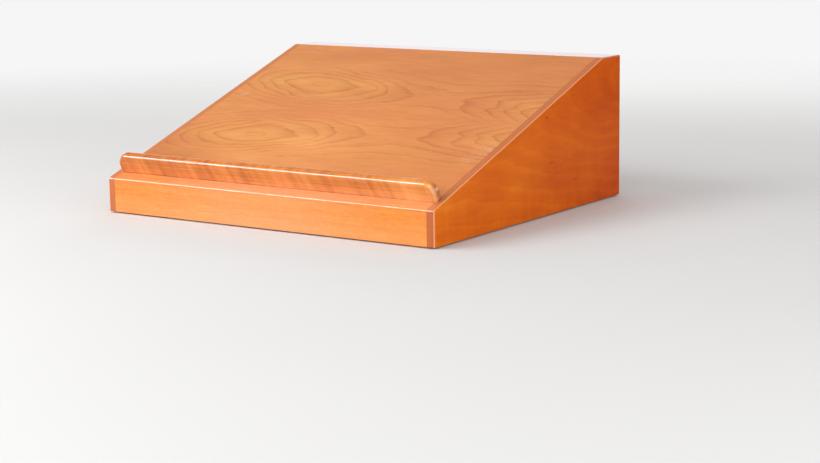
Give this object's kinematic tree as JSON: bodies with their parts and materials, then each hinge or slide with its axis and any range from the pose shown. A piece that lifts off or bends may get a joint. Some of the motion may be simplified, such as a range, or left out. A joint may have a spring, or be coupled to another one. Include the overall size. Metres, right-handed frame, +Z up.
{
  "type": "tabletop presentation lectern",
  "caption": "Wedge-shaped wooden tabletop lectern with a sloping reading surface, a level crest and a rounded book stop along the low front edge.",
  "frame": {"origin": "centre of the lectern's bounding box on the table it stands on, under its felt pads", "axes": "+Z up; -Y towards the speaker, who faces the low edge with the book stop; +X to the speaker's right; the tall back faces +Y, the audience"},
  "size_m": [0.61, 0.535, 0.226],
  "materials": {
    "cherry_side_veneer": "satin lacquer over flat-cut cherry veneer",
    "cherry_edge": "satin lacquer over solid cherry lipping",
    "cherry_board": "satin lacquer over straight-grained solid cherry",
    "cherry_reading_veneer": "satin lacquer over book-matched cherry veneer",
    "cherry_stop": "gloss lacquer over curly solid cherry",
    "birch_plywood": "raw plywood",
    "poplar": "raw planed poplar",
    "beech_dowel": "raw turned beech",
    "zinc_plated_screw": "yellow zinc-plated steel",
    "felt": "pressed felt with adhesive back"
  },
  "bodies": {
    "root": {"left_side_core": "birch_plywood", "left_side_veneer": "cherry_side_veneer", "left_front_lipping": "cherry_edge", "left_slope_lipping": "cherry_edge", "left_crest_lipping": "cherry_edge", "left_back_lipping": "cherry_edge", "right_side_core": "birch_plywood", "right_side_veneer": "cherry_side_veneer", "right_front_lipping": "cherry_edge", "right_slope_lipping": "cherry_edge", "right_crest_lipping": "cherry_edge", "right_back_lipping": "cherry_edge", "front_board": "cherry_board", "reading_panel_core": "birch_plywood", "lower_veneer_leaf": "cherry_reading_veneer", "upper_veneer_leaf": "cherry_reading_veneer", "crest_board": "cherry_board", "back_panel_core": "birch_plywood", "back_veneer": "cherry_side_veneer", "book_stop": "cherry_stop", "front_cleat": "poplar", "left_cleat": "poplar", "right_cleat": "poplar", "ridge_cleat": "poplar", "rear_cleat": "poplar", "front_left_block": "poplar", "front_right_block": "poplar", "rear_left_block": "poplar", "rear_right_block": "poplar", "front_left_pad": "felt", "front_right_pad": "felt", "rear_left_pad": "felt", "rear_right_pad": "felt", "front_board_dowels": "beech_dowel", "crest_board_dowels": "beech_dowel", "back_panel_dowels": "beech_dowel", "stop_screws": "zinc_plated_screw", "front_cleat_screws": "zinc_plated_screw", "side_cleat_screws": "zinc_plated_screw", "reading_panel_screws": "zinc_plated_screw", "rear_cleat_screws": "zinc_plated_screw", "crest_screws": "zinc_plated_screw"}
  },
  "joints": []
}
